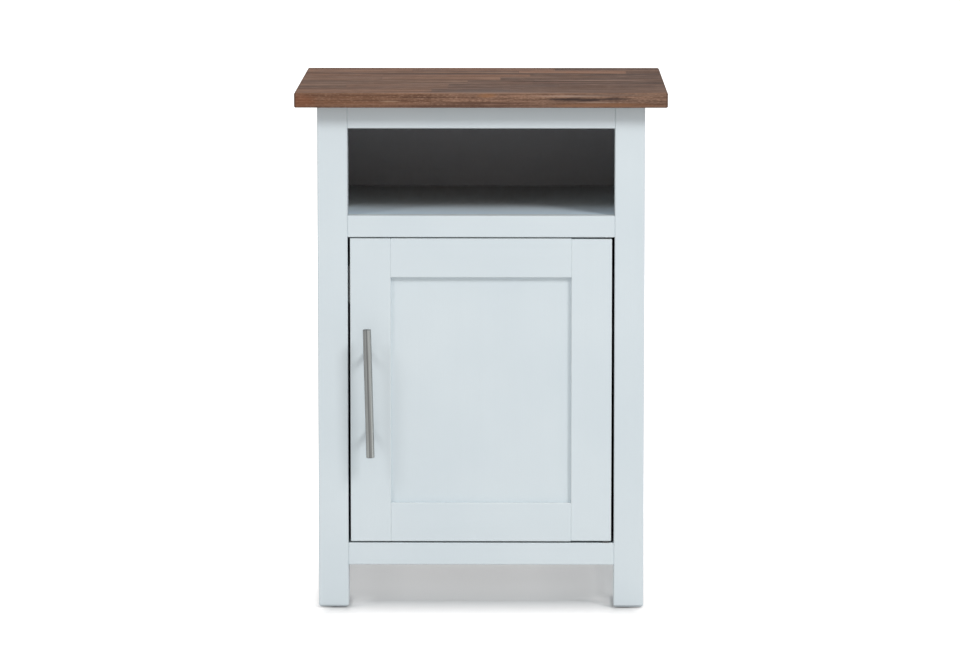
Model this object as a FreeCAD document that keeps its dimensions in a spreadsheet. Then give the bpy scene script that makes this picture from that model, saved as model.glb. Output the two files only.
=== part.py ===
"""Nightstand: four square legs, an open cubby over a cupboard with one framed door, and a wooden top.

X runs to the right, Y to the back and Z up. The origin lies on the floor, under the middle of the piece.
"""
import FreeCAD
import Part
import Sketcher
import os
import re

SIZES = {
    # outer sizes
    "top_width": 450,
    "top_depth": 400,
    "top_thickness": 18,
    "top_corner": 1.5,
    "top_ease": 1.2,
    "overall_height": 634,
    "body_width": 397,
    "body_depth": 372,
    "front_overhang": 25,
    # legs, rails and their joints
    "leg_side": 36.5,
    "leg_ease": 1,
    "foot_bevel": 2.5,
    "rail_height": 27,
    "middle_rail_height": 26.4,
    "rail_depth": 20,
    "rail_ease": 0.8,
    "rear_rail_height": 40,
    "tenon_length": 12,
    "tenon_thickness": 9,
    "tenon_shoulder": 5,
    "mortise_spare": 1,
    "joint_gap": 0.1,
    "bottom_clearance": 54,
    "cubby_height": 106,
    # panels and cleats
    "side_panel_thickness": 12,
    "side_recess": 10,
    "panel_groove": 8,
    "groove_spare": 0.5,
    "shelf_thickness": 15,
    "shelf_fit": 0.2,
    "top_cleat_height": 18,
    "back_panel_thickness": 5,
    "back_rebate": 10,
    # door
    "door_thickness": 18,
    "door_ease": 0.6,
    "door_gap_left": 3,
    "door_gap_right": 3.3,
    "door_gap_top": 1.5,
    "door_gap_bottom": 2,
    "stile_width": 49,
    "hinge_stile_trim": 0.6,
    "door_rail_height": 47.5,
    "door_panel_thickness": 6,
    "door_panel_setback": 6,
    "door_groove": 10,
    "door_tongue": 9.5,
    "door_panel_tongue": 9,
    # pivots
    "pivot_inset": 7,
    "pivot_setback": 7,
    "pivot_diameter": 5,
    "pivot_press_depth": 16,
    "pivot_reach": 12,
    "press_gap": 0.02,
    "running_gap": 0.05,
    "bush_diameter": 8,
    "bush_length": 15,
    "bush_flange": 12,
    "thrust_gap": 0.15,
    # handle
    "handle_length": 157,
    "handle_centres": 96,
    "handle_diameter": 10,
    "handle_end_ease": 0.6,
    "handle_projection": 33,
    "handle_inset": 23,
    "handle_lean": 1.4,
    "standoff_diameter": 7,
    "spigot_diameter": 5,
    "saddle_gap": 0.05,
    "handle_screw_diameter": 4,
    "handle_screw_grip": 10,
    "handle_screw_head": 8.4,
    "handle_screw_head_height": 2.4,
    "handle_screw_room": 0.25,
    # magnetic catch
    "catch_drop": 60,
    "catch_width": 12,
    "catch_depth": 16,
    "catch_height": 46,
    "catch_ease": 0.8,
    "catch_screw_centres": 34,
    "magnet_width": 8,
    "magnet_depth": 12,
    "magnet_height": 22,
    "strike_width": 12,
    "strike_height": 30,
    "strike_thickness": 1,
    "strike_inset": 2,
    "strike_gap": 0.3,
    # wood screws
    "screw_gap": 0.05,
    "pilot_spare": 1,
    "top_screw_diameter": 3.5,
    "top_screw_head": 7,
    "top_screw_head_height": 2.2,
    "top_screw_length": 30,
    "top_screw_inset": 60,
    "small_screw_diameter": 3,
    "small_screw_head": 6,
    "small_screw_head_height": 1.8,
    "catch_screw_length": 20,
    "strike_screw_length": 12,
    # glides
    "glide_diameter": 18,
    "glide_height": 1.5,
    "glide_nail_diameter": 3,
    "glide_nail_length": 12,
    # how far every cut runs past the face that it enters
    "overrun": 1,
}

doc = FreeCAD.newDocument("Nightstand")
sheet = doc.addObject("Spreadsheet::Sheet", "Sizes")
for row, (alias, value) in enumerate(SIZES.items(), 1):
    sheet.set(f"A{row}", alias)
    sheet.set(f"B{row}", str(value))
    sheet.setAlias(f"B{row}", alias)
doc.recompute()

NODES = []
AXES = ("x", "y", "z")
DRIVE = {
    "+x": FreeCAD.Rotation(FreeCAD.Vector(0, 0, 1), FreeCAD.Vector(1, 0, 0)),
    "-x": FreeCAD.Rotation(FreeCAD.Vector(0, 0, 1), FreeCAD.Vector(-1, 0, 0)),
    "+y": FreeCAD.Rotation(FreeCAD.Vector(0, 0, 1), FreeCAD.Vector(0, 1, 0)),
    "-y": FreeCAD.Rotation(FreeCAD.Vector(0, 0, 1), FreeCAD.Vector(0, -1, 0)),
    "+z": FreeCAD.Rotation(),
    "-z": FreeCAD.Rotation(FreeCAD.Vector(0, 0, 1), FreeCAD.Vector(0, 0, -1)),
}

# places shared by many pieces, written in the sheet's names
FRONT = "((handle_projection + front_overhang - top_depth) / 2)"
BACK = f"({FRONT} + body_depth)"
UNDERSIDE = "(overall_height - top_thickness)"
BODY_HALF = "(body_width / 2)"
OPENING_HALF = "(body_width / 2 - leg_side)"
INNER_HALF = "(body_width / 2 - side_recess - side_panel_thickness)"
REAR_LEG_WIDTH = "(side_recess + side_panel_thickness)"
CLEAT_THICKNESS = "(leg_side - side_recess - side_panel_thickness)"
CLEAT_LENGTH = "(body_depth - 2 * leg_side)"
SHELF_CLEAT_HEIGHT = "(middle_rail_height - shelf_thickness)"
MIDDLE_RAIL_Z = f"({UNDERSIDE} - rail_height - cubby_height - middle_rail_height)"
TOP_RAIL_Z = f"({UNDERSIDE} - rail_height)"
BOTTOM_RAIL_TOP = "(bottom_clearance + rail_height)"
DOOR_LEFT = f"(door_gap_left - {OPENING_HALF})"
DOOR_RIGHT = f"({OPENING_HALF} - door_gap_right)"
DOOR_WIDTH = f"({DOOR_RIGHT} - {DOOR_LEFT})"
DOOR_Z = f"({BOTTOM_RAIL_TOP} + door_gap_bottom)"
DOOR_HEIGHT = f"({MIDDLE_RAIL_Z} - door_gap_top - {DOOR_Z})"
DOOR_OPENING = f"({DOOR_WIDTH} - 2 * stile_width)"
PIVOT_X = f"({DOOR_RIGHT} - pivot_inset)"
PIVOT_Y = f"({FRONT} + pivot_setback)"
HANDLE_X = f"({DOOR_LEFT} + handle_inset)"
HANDLE_Z = f"({DOOR_Z} + {DOOR_HEIGHT} / 2)"
HANDLE_SIDE = "(handle_centres / 2 * sin(handle_lean))"
HANDLE_RISE = "(handle_centres / 2 * cos(handle_lean))"
CATCH_Z = f"({MIDDLE_RAIL_Z} - catch_drop)"
CATCH_Y = f"({FRONT} + door_thickness + strike_thickness + strike_gap)"


def sized(text):
    """Turns a line of size names into an expression on the sheet."""
    def full_name(word):
        return "Sizes." + word.group() if word.group() in SIZES else word.group()
    return re.sub(r"[a-z_]+", full_name, text)


def bind(item, path, text):
    item.setExpression(path, sized(text))


def name_node(item, label):
    item.Label = label
    NODES.append(item)
    return item


def place(item, at):
    for axis, text in zip(AXES, at):
        bind(item, f"Placement.Base.{axis}", text)


def origin_plane(body, role):
    return next(item for item in body.Origin.OriginFeatures if item.Role == role)


def new_body(label):
    return doc.addObject("PartDesign::Body", "Body_" + label)


def attach(body, item, role="XY_Plane"):
    item.AttachmentSupport = [(origin_plane(body, role), "")]
    item.MapMode = "FlatFace"


def rectangle(body, width, height):
    """A rectangle in the body's XY plane, with one corner on its origin."""
    sketch = body.newObject("Sketcher::SketchObject", "Outline")
    attach(body, sketch)
    corners = [FreeCAD.Vector(*corner, 0) for corner in ((0, 0), (1, 0), (1, 1), (0, 1))]
    for index in range(4):
        sketch.addGeometry(Part.LineSegment(corners[index], corners[(index + 1) % 4]), False)
    for index in range(4):
        sketch.addConstraint(Sketcher.Constraint("Coincident", index, 2, (index + 1) % 4, 1))
        sketch.addConstraint(Sketcher.Constraint("Vertical" if index % 2 else "Horizontal", index))
    sketch.addConstraint(Sketcher.Constraint("Coincident", 0, 1, -1, 1))
    for title, kind, line, text in (("width", "DistanceX", 0, width), ("height", "DistanceY", 1, height)):
        index = sketch.addConstraint(Sketcher.Constraint(kind, line, 1, line, 2, 1))
        sketch.renameConstraint(index, title)
        bind(sketch, f"Constraints.{title}", text)
    return sketch


def pad(body, sketch, length):
    feature = body.newObject("PartDesign::Pad", "Board")
    feature.Profile = sketch
    bind(feature, "Length", length)
    sketch.Visibility = False
    return feature


def dress(body, kind, choose, prop, size):
    """Rounds or bevels the edges of the body's last shape that the given test picks."""
    doc.recompute()
    base = body.Tip
    names = [f"Edge{number}" for number, edge in enumerate(base.Shape.Edges, 1) if choose(edge, base.Shape)]
    feature = body.newObject(kind, "Eased")
    feature.Base = (base, names)
    bind(feature, prop, size)


def upright(edge, shape):
    return round(abs(edge.tangentAt(edge.FirstParameter).z), 6) == 1


def level(edge, shape):
    return not upright(edge, shape)


def at_foot(edge, shape):
    return level(edge, shape) and round(edge.CenterOfMass.z - shape.BoundBox.ZMin, 6) == 0


def any_edge(edge, shape):
    return True


def board(label, size, at, ease=None):
    """A board of the given width, depth and height, with its lower front left corner at the given place."""
    body = name_node(new_body(label), label)
    pad(body, rectangle(body, size[0], size[1]), size[2])
    if ease:
        dress(body, "PartDesign::Chamfer", any_edge, "Size", ease)
    place(body, at)
    return body


def box_tool(body, kind, size, at):
    tool = body.newObject(kind, "Block")
    attach(body, tool)
    for prop, text in zip(("Length", "Width", "Height"), size):
        bind(tool, prop, text)
    for axis, text in zip(AXES, at):
        bind(tool, f"AttachmentOffset.Base.{axis}", text)
    return tool


def cut_box(body, size, at):
    return box_tool(body, "PartDesign::SubtractiveBox", size, at)


def add_box(body, size, at):
    return box_tool(body, "PartDesign::AdditiveBox", size, at)


def drill(body, drive, diameter, depth, at):
    """A round hole that starts one overrun outside the given place and runs the given way."""
    tool = body.newObject("PartDesign::SubtractiveCylinder", "Drilled")
    attach(body, tool)
    tool.AttachmentOffset = FreeCAD.Placement(FreeCAD.Vector(), DRIVE[drive])
    bind(tool, "Radius", f"({diameter}) / 2")
    bind(tool, "Height", f"({depth}) + overrun")
    back = "-" if drive[0] == "+" else "+"
    for axis, text in zip(AXES, at):
        start = f"{text} {back} overrun" if axis == drive[1] else text
        bind(tool, f"AttachmentOffset.Base.{axis}", start)
    return tool


def turned(label, profile):
    """A body turned about its Z axis from (radius, height) corners, listed from the axis out and round."""
    body = new_body(label)
    sketch = body.newObject("Sketcher::SketchObject", "Profile")
    attach(body, sketch, "XZ_Plane")
    count = len(profile)
    spread = [FreeCAD.Vector(1 + index, 1 + index * index, 0) for index in range(count)]
    for index in range(count):
        sketch.addGeometry(Part.LineSegment(spread[index], spread[(index + 1) % count]), False)
    for index in range(count):
        sketch.addConstraint(Sketcher.Constraint("Coincident", index, 2, (index + 1) % count, 1))
    for index, corner in enumerate(profile):
        for kind, own_axis, text in (("DistanceX", -2, corner[0]), ("DistanceY", -1, corner[1])):
            if text == "0":
                sketch.addConstraint(Sketcher.Constraint("PointOnObject", index, 1, own_axis))
                continue
            number = sketch.addConstraint(Sketcher.Constraint(kind, -1, 1, index, 1, 1))
            title = f"{kind}_{index}"
            sketch.renameConstraint(number, title)
            bind(sketch, f"Constraints.{title}", text)
    feature = body.newObject("PartDesign::Revolution", "Turned")
    feature.Profile = sketch
    feature.ReferenceAxis = (sketch, ["V_Axis"])
    feature.Angle = 360
    sketch.Visibility = False
    return body


def group(label, master, places):
    """One node of equal solids: copies of a master, each driven the given way from the given place."""
    links = []
    for drive, at in places:
        link = doc.addObject("App::Link", "Copy_" + label)
        link.LinkedObject = master
        link.Placement = FreeCAD.Placement(FreeCAD.Vector(), DRIVE[drive])
        place(link, at)
        links.append(link)
    compound = name_node(doc.addObject("Part::Compound", "Group_" + label), label)
    compound.Links = links
    return compound


def wood_screw(label, diameter, length, head, head_height):
    """A countersunk screw with its head's face at zero, and a plain shank that ends flat in the wood."""
    return turned(label, (
        ("0", "0"),
        (f"{head} / 2", "0"),
        (f"{diameter} / 2", head_height),
        (f"{diameter} / 2", length),
        ("0", length),
    ))


def countersink(body, drive, head, head_height, diameter, at):
    """The seat of a countersunk head, which starts at the face."""
    tool = body.newObject("PartDesign::SubtractiveCone", "Countersunk")
    attach(body, tool)
    tool.AttachmentOffset = FreeCAD.Placement(FreeCAD.Vector(), DRIVE[drive])
    bind(tool, "Radius1", f"{head} / 2 + screw_gap")
    bind(tool, "Radius2", f"{diameter} / 2 + screw_gap")
    bind(tool, "Height", head_height)
    for axis, text in zip(AXES, at):
        bind(tool, f"AttachmentOffset.Base.{axis}", text)


# Top
top = board("tabletop", ("top_width", "top_depth", "top_thickness"),
            ("-top_width / 2", f"{FRONT} - front_overhang", UNDERSIDE))
dress(top, "PartDesign::Chamfer", upright, "Size", "top_corner")
dress(top, "PartDesign::Chamfer", level, "Size", "top_ease")

# Legs
LEG_HEIGHT = f"({UNDERSIDE} - glide_height)"
TENON_HEIGHT = "(rail_height - 2 * tenon_shoulder)"
MIDDLE_TENON_HEIGHT = "(middle_rail_height - 2 * tenon_shoulder)"
REAR_TENON_HEIGHT = "(rear_rail_height - 2 * tenon_shoulder)"
FRONT_TENON_Y = "((rail_depth - tenon_thickness) / 2)"
REAR_TENON_Y = f"(leg_side - back_panel_thickness - rail_depth + {FRONT_TENON_Y})"


def leg(side, end):
    left, front = side == "left", end == "front"
    width = "leg_side" if front else REAR_LEG_WIDTH
    at_x = f"-{BODY_HALF}" if left else f"{BODY_HALF} - {width}"
    at_y = FRONT if front else f"{BACK} - leg_side"
    body = board(f"{end}_{side}_leg", (width, "leg_side", LEG_HEIGHT), (at_x, at_y, "glide_height"))
    dress(body, "PartDesign::Chamfer", at_foot, "Size", "foot_bevel")
    dress(body, "PartDesign::Chamfer", upright, "Size", "leg_ease")
    # groove for the side panel, open at the leg's top, and at a rear leg's inner side
    cut_box(body,
            ("side_panel_thickness + 2 * joint_gap", "panel_groove + overrun",
             f"{UNDERSIDE} - bottom_clearance + joint_gap + overrun"),
            ("side_recess - joint_gap" if left else f"{width} - {REAR_LEG_WIDTH} - joint_gap",
             "leg_side - panel_groove" if front else "-overrun",
             "bottom_clearance - glide_height - joint_gap"))
    # mortises for the rails
    inner_start = f"{width} - tenon_length - mortise_spare" if left else "-overrun"
    tenon_y = FRONT_TENON_Y if front else REAR_TENON_Y
    rails = [("bottom_clearance", TENON_HEIGHT)]
    if front:
        rails += [(MIDDLE_RAIL_Z, MIDDLE_TENON_HEIGHT), (TOP_RAIL_Z, TENON_HEIGHT)]
    else:
        rails += [(f"{UNDERSIDE} - rear_rail_height", REAR_TENON_HEIGHT)]
    for rail_z, height in rails:
        cut_box(body,
                ("tenon_length + mortise_spare + overrun", "tenon_thickness + 2 * joint_gap",
                 f"{height} + 2 * joint_gap"),
                (inner_start, f"{tenon_y} - joint_gap",
                 f"{rail_z} + tenon_shoulder - joint_gap - glide_height"))
    # rebate for the back panel
    if not front:
        cut_box(body,
                ("back_rebate + overrun", "back_panel_thickness + overrun",
                 f"{UNDERSIDE} - bottom_clearance + overrun"),
                (f"{width} - back_rebate" if left else "-overrun", "leg_side - back_panel_thickness",
                 "bottom_clearance - glide_height"))
    drill(body, "+z", "glide_nail_diameter + 2 * screw_gap", "glide_nail_length + pilot_spare",
          (f"{width} / 2", "leg_side / 2", "0"))
    return body


legs = {(side, end): leg(side, end) for end in ("front", "rear") for side in ("left", "right")}


# Rails
def rail(label, half, at_y, at_z, height, tenon_height):
    """A rail with a tenon at each end; half is how far its shoulders are from the middle."""
    body = board(label, (f"2 * {half}", "rail_depth", height), (f"-{half}", at_y, at_z), "rail_ease")
    for start in ("-tenon_length", f"2 * {half} - rail_ease"):
        add_box(body, ("tenon_length + rail_ease", "tenon_thickness", tenon_height),
                (start, FRONT_TENON_Y, "tenon_shoulder"))
    return body


REAR_RAIL_Y = f"{BACK} - back_panel_thickness - rail_depth"
rail("front_top_rail", OPENING_HALF, FRONT, TOP_RAIL_Z, "rail_height", TENON_HEIGHT)
middle_rail = rail("middle_rail", OPENING_HALF, FRONT, MIDDLE_RAIL_Z, "middle_rail_height",
                   MIDDLE_TENON_HEIGHT)
bottom_rail = rail("front_bottom_rail", OPENING_HALF, FRONT, "bottom_clearance", "rail_height", TENON_HEIGHT)
rail("rear_top_rail", INNER_HALF, REAR_RAIL_Y, f"{UNDERSIDE} - rear_rail_height", "rear_rail_height",
     REAR_TENON_HEIGHT)
rail("rear_bottom_rail", INNER_HALF, REAR_RAIL_Y, "bottom_clearance", "rail_height", TENON_HEIGHT)

# Side panels and their cleats
PANEL_REACH = "(panel_groove - groove_spare)"
SIDE_PANEL_Y = f"({FRONT} + leg_side - {PANEL_REACH})"
CLEAT_Y = f"({FRONT} + leg_side)"
TOP_SCREW_PLACES = ("top_screw_inset", f"{CLEAT_LENGTH} - top_screw_inset")
CLEATS = (
    ("top", f"({UNDERSIDE} - top_cleat_height)", "top_cleat_height"),
    ("shelf", MIDDLE_RAIL_Z, SHELF_CLEAT_HEIGHT),
    ("bottom", "bottom_clearance", SHELF_CLEAT_HEIGHT),
)
top_screw_places = []
for side in ("left", "right"):
    left = side == "left"
    board(f"{side}_side_panel",
          ("side_panel_thickness", f"{CLEAT_LENGTH} + 2 * {PANEL_REACH}", f"{UNDERSIDE} - bottom_clearance"),
          (f"side_recess - {BODY_HALF}" if left else INNER_HALF, SIDE_PANEL_Y, "bottom_clearance"))
    cleat_x = f"-{INNER_HALF}" if left else OPENING_HALF
    for name, cleat_z, cleat_height in CLEATS:
        cleat = board(f"{side}_{name}_cleat", (CLEAT_THICKNESS, CLEAT_LENGTH, cleat_height),
                      (cleat_x, CLEAT_Y, cleat_z))
        if name != "top":
            continue
        for y in TOP_SCREW_PLACES:
            middle = f"{CLEAT_THICKNESS} / 2"
            drill(cleat, "+z", "top_screw_diameter + 2 * screw_gap", "top_cleat_height + overrun",
                  (middle, y, "0"))
            countersink(cleat, "+z", "top_screw_head", "top_screw_head_height", "top_screw_diameter",
                        (middle, y, "0"))
            drill(top, "+z", "top_screw_diameter + 2 * screw_gap",
                  "top_screw_length - top_cleat_height + pilot_spare",
                  (f"{cleat_x} + {middle} + top_width / 2", f"front_overhang + leg_side + {y}", "0"))
            top_screw_places.append(("+z", (f"{cleat_x} + {middle}", f"{CLEAT_Y} + {y}", cleat_z)))


# Shelf and bottom, notched round the front legs
def notched_panel(label, at_z, rear_edge):
    depth = f"({rear_edge} - {FRONT} - rail_depth)"
    width = f"(2 * ({INNER_HALF} - shelf_fit))"
    body = board(label, (width, depth, "shelf_thickness"),
                 (f"shelf_fit - {INNER_HALF}", f"{FRONT} + rail_depth", at_z))
    for x in ("-overrun", f"{width} - {CLEAT_THICKNESS}"):
        cut_box(body, (f"{CLEAT_THICKNESS} + overrun", "leg_side - rail_depth + shelf_fit + overrun",
                       "shelf_thickness + 2 * overrun"), (x, "-overrun", "-overrun"))
    return body


notched_panel("shelf", f"{MIDDLE_RAIL_Z} + middle_rail_height - shelf_thickness",
              f"({BACK} - back_panel_thickness)")
notched_panel("cupboard_bottom", f"{BOTTOM_RAIL_TOP} - shelf_thickness", f"({REAR_RAIL_Y})")

# Back panel in the rear legs' rebates
BACK_HALF = f"({INNER_HALF} + back_rebate - shelf_fit)"
board("back_panel", (f"2 * {BACK_HALF}", "back_panel_thickness", f"{UNDERSIDE} - bottom_clearance"),
      (f"-{BACK_HALF}", f"{BACK} - back_panel_thickness", "bottom_clearance"))

# Door frame: grooved stiles and rails round a flat panel
GROOVE_WIDTH = "(door_panel_thickness + 2 * joint_gap)"
GROOVE_Y = "(door_panel_setback - joint_gap)"
left_stile = board("door_left_stile", ("stile_width", "door_thickness", DOOR_HEIGHT),
                   (DOOR_LEFT, FRONT, DOOR_Z), "door_ease")
HINGE_STILE_HEIGHT = f"({DOOR_HEIGHT} - 2 * hinge_stile_trim)"
HINGE_STILE_Z = f"({DOOR_Z} + hinge_stile_trim)"
right_stile = board("door_right_stile", ("stile_width", "door_thickness", HINGE_STILE_HEIGHT),
                    (f"{DOOR_RIGHT} - stile_width", FRONT, HINGE_STILE_Z), "door_ease")
for stile, start in ((left_stile, "stile_width - door_groove"), (right_stile, "-overrun")):
    cut_box(stile, ("door_groove + overrun", GROOVE_WIDTH, f"{DOOR_HEIGHT} + 2 * overrun"),
            (start, GROOVE_Y, "-overrun"))
TONGUE_HEIGHT = "(door_rail_height - hinge_stile_trim)"
for label, rail_z, groove_z, tongue_z in (
        ("door_top_rail", f"{DOOR_Z} + {DOOR_HEIGHT} - door_rail_height", "-overrun", "0"),
        ("door_bottom_rail", DOOR_Z, "door_rail_height - door_groove", "hinge_stile_trim")):
    body = board(label, (DOOR_OPENING, "door_thickness", "door_rail_height"),
                 (f"{DOOR_LEFT} + stile_width", FRONT, rail_z), "door_ease")
    for start in ("-door_tongue", f"{DOOR_OPENING} - door_ease"):
        add_box(body, ("door_tongue + door_ease", "door_panel_thickness", TONGUE_HEIGHT),
                (start, "door_panel_setback", tongue_z))
    cut_box(body, (f"{DOOR_OPENING} + 2 * door_tongue + 2 * overrun", GROOVE_WIDTH, "door_groove + overrun"),
            ("-door_tongue - overrun", GROOVE_Y, groove_z))
board("door_panel",
      (f"{DOOR_OPENING} + 2 * door_panel_tongue", "door_panel_thickness",
       f"{DOOR_HEIGHT} - 2 * door_rail_height + 2 * door_panel_tongue"),
      (f"{DOOR_LEFT} + stile_width - door_panel_tongue", f"{FRONT} + door_panel_setback",
       f"{DOOR_Z} + door_rail_height - door_panel_tongue"))

# Pivots: a pin pressed into each rail turns in a bush in the hinge stile
PIVOT_IN_STILE = ("stile_width - pivot_inset", "pivot_setback")
for body, drive, face, z in ((middle_rail, "+z", "0", MIDDLE_RAIL_Z),
                             (bottom_rail, "-z", "rail_height", BOTTOM_RAIL_TOP)):
    drill(body, drive, "pivot_diameter + 2 * press_gap", "pivot_press_depth",
          (f"{PIVOT_X} + {OPENING_HALF}", "pivot_setback", face))
for drive, face in (("-z", HINGE_STILE_HEIGHT), ("+z", "0")):
    drill(right_stile, drive, "bush_diameter + 2 * press_gap", "bush_length", PIVOT_IN_STILE + (face,))
UPPER_PIVOT_GAP = "(door_gap_top + hinge_stile_trim)"
LOWER_PIVOT_GAP = "(door_gap_bottom + hinge_stile_trim)"


def pivot_pin(label, gap, at_z, flip):
    """A plain pin with its pressed end at zero."""
    length = f"(pivot_press_depth + {gap} + pivot_reach)"
    body = name_node(turned(label, (
        ("0", "0"),
        ("pivot_diameter / 2", "0"),
        ("pivot_diameter / 2", length),
        ("0", length),
    )), label)
    body.Placement = FreeCAD.Placement(FreeCAD.Vector(), DRIVE["-z" if flip else "+z"])
    place(body, (PIVOT_X, PIVOT_Y, at_z))


pivot_pin("upper_pivot_pin", UPPER_PIVOT_GAP, f"{MIDDLE_RAIL_Z} + pivot_press_depth", True)
pivot_pin("lower_pivot_pin", LOWER_PIVOT_GAP, f"{BOTTOM_RAIL_TOP} - pivot_press_depth", False)
BORE = "(pivot_diameter / 2 + running_gap)"
upper_bush = name_node(turned("upper_pivot_bush", (
    (BORE, "0"), ("bush_diameter / 2", "0"), ("bush_diameter / 2", "bush_length"), (BORE, "bush_length"))),
    "upper_pivot_bush")
place(upper_bush, (PIVOT_X, PIVOT_Y, f"{HINGE_STILE_Z} + {HINGE_STILE_HEIGHT} - bush_length"))
FLANGE = f"({LOWER_PIVOT_GAP} - thrust_gap)"
lower_bush = name_node(turned("lower_pivot_bush", (
    (BORE, "0"), ("bush_flange / 2", "0"), ("bush_flange / 2", FLANGE), ("bush_diameter / 2", FLANGE),
    ("bush_diameter / 2", f"{FLANGE} + bush_length"), (BORE, f"{FLANGE} + bush_length"))), "lower_pivot_bush")
place(lower_bush, (PIVOT_X, PIVOT_Y, f"{BOTTOM_RAIL_TOP} + thrust_gap"))

# Handle: a bar on two standoffs, held from behind the stile
BAR_Y = f"({FRONT} - handle_projection + handle_diameter / 2)"
bar = name_node(turned("handle_bar", (
    ("0", "0"),
    ("handle_diameter / 2 - handle_end_ease", "0"),
    ("handle_diameter / 2", "handle_end_ease"),
    ("handle_diameter / 2", "handle_length - handle_end_ease"),
    ("handle_diameter / 2 - handle_end_ease", "handle_length"),
    ("0", "handle_length"),
)), "handle_bar")
for z in ("(handle_length - handle_centres) / 2", "(handle_length + handle_centres) / 2"):
    drill(bar, "-y", "spigot_diameter + 2 * screw_gap", "handle_diameter / 2",
          ("0", "handle_diameter / 2", z))
bar.Placement = FreeCAD.Placement(FreeCAD.Vector(), FreeCAD.Rotation(FreeCAD.Vector(0, 1, 0), 0))
place(bar, (f"{HANDLE_X} + handle_length / 2 * sin(handle_lean)", BAR_Y,
            f"{HANDLE_Z} - handle_length / 2 * cos(handle_lean)"))
bind(bar, "Placement.Rotation.Angle", "-handle_lean")

STANDOFF = "(handle_projection - handle_diameter / 2)"
standoff = turned("standoff_pattern", (
    ("0", "0"),
    ("standoff_diameter / 2", "0"),
    ("standoff_diameter / 2", STANDOFF),
    ("0", STANDOFF),
))
saddle = standoff.newObject("PartDesign::SubtractiveCylinder", "Saddle")
attach(standoff, saddle)
saddle.AttachmentOffset = FreeCAD.Placement(FreeCAD.Vector(), DRIVE["+y"])
bind(saddle, "Radius", "handle_diameter / 2 + saddle_gap")
bind(saddle, "Height", "2 * standoff_diameter")
bind(saddle, "AttachmentOffset.Base.y", "-standoff_diameter")
bind(saddle, "AttachmentOffset.Base.z", STANDOFF)
spigot = standoff.newObject("PartDesign::AdditiveCylinder", "Spigot")
attach(standoff, spigot)
bind(spigot, "Radius", "spigot_diameter / 2")
bind(spigot, "Height", "handle_diameter / 2 + overrun - screw_gap")
bind(spigot, "AttachmentOffset.Base.z", f"{STANDOFF} - handle_diameter / 2 - overrun")
drill(standoff, "+z", "handle_screw_diameter + 2 * screw_gap", "handle_screw_grip + pilot_spare",
      ("0", "0", "0"))
handle_screw = turned("handle_screw_pattern", (
    ("0", "0"),
    ("handle_screw_head / 2", "0"),
    ("handle_screw_head / 2", "handle_screw_head_height"),
    ("handle_screw_diameter / 2", "handle_screw_head_height"),
    ("handle_screw_diameter / 2", "handle_screw_head_height + door_thickness + handle_screw_grip"),
    ("0", "handle_screw_head_height + door_thickness + handle_screw_grip"),
))
HANDLE_POINTS = ((f"{HANDLE_X} - {HANDLE_SIDE}", f"{HANDLE_Z} + {HANDLE_RISE}"),
                 (f"{HANDLE_X} + {HANDLE_SIDE}", f"{HANDLE_Z} - {HANDLE_RISE}"))
group("handle_standoffs", standoff, [("-y", (x, FRONT, z)) for x, z in HANDLE_POINTS])
group("handle_screws", handle_screw,
      [("-y", (x, f"{FRONT} + door_thickness + handle_screw_head_height", z)) for x, z in HANDLE_POINTS])
for x, z in HANDLE_POINTS:
    drill(left_stile, "-y", "handle_screw_diameter + 2 * handle_screw_room", "door_thickness + overrun",
          (f"{x} - {DOOR_LEFT}", "door_thickness", f"{z} - {DOOR_Z}"))

# Magnetic catch on the left front leg, and its strike on the door
catch = board("catch_housing", ("catch_width", "catch_depth", "catch_height"),
              (f"-{OPENING_HALF}", CATCH_Y, f"{CATCH_Z} - catch_height / 2"), "catch_ease")
cut_box(catch, ("magnet_width + 2 * joint_gap", "magnet_depth + joint_gap + overrun",
                "magnet_height + 2 * joint_gap"),
        ("(catch_width - magnet_width) / 2 - joint_gap", "-overrun",
         "(catch_height - magnet_height) / 2 - joint_gap"))
board("catch_magnet", ("magnet_width", "magnet_depth", "magnet_height"),
      (f"(catch_width - magnet_width) / 2 - {OPENING_HALF}", CATCH_Y, f"{CATCH_Z} - magnet_height / 2"))
catch_screw_places = []
for sign in ("-", "+"):
    z = f"{CATCH_Z} {sign} catch_screw_centres / 2"
    at = ("catch_width", "catch_depth / 2", f"(catch_height {sign} catch_screw_centres) / 2")
    drill(catch, "-x", "small_screw_diameter + 2 * screw_gap", "catch_width + overrun", at)
    countersink(catch, "-x", "small_screw_head", "small_screw_head_height", "small_screw_diameter", at)
    drill(legs["left", "front"], "-x", "small_screw_diameter + 2 * screw_gap",
          "catch_screw_length - catch_width + pilot_spare",
          ("leg_side", f"{CATCH_Y} - {FRONT} + catch_depth / 2", f"{z} - glide_height"))
    catch_screw_places.append(("-x", (f"catch_width - {OPENING_HALF}", f"{CATCH_Y} + catch_depth / 2", z)))
strike = board("strike_plate", ("strike_width", "strike_thickness", "strike_height"),
               (f"{DOOR_LEFT} + strike_inset", f"{FRONT} + door_thickness", f"{CATCH_Z} - strike_height / 2"))
STRIKE_MIDDLE = ("strike_width / 2", "strike_thickness", "strike_height / 2")
countersink(strike, "-y", "small_screw_head", "small_screw_head_height", "small_screw_diameter",
            STRIKE_MIDDLE)
STRIKE_SCREW_X = f"({DOOR_LEFT} + strike_inset + strike_width / 2)"
IN_STILE = (f"{STRIKE_SCREW_X} - {DOOR_LEFT}", "door_thickness + strike_thickness", f"{CATCH_Z} - {DOOR_Z}")
drill(left_stile, "-y", "small_screw_diameter + 2 * screw_gap", "strike_screw_length + pilot_spare", IN_STILE)
countersink(left_stile, "-y", "small_screw_head", "small_screw_head_height", "small_screw_diameter", IN_STILE)

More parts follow.
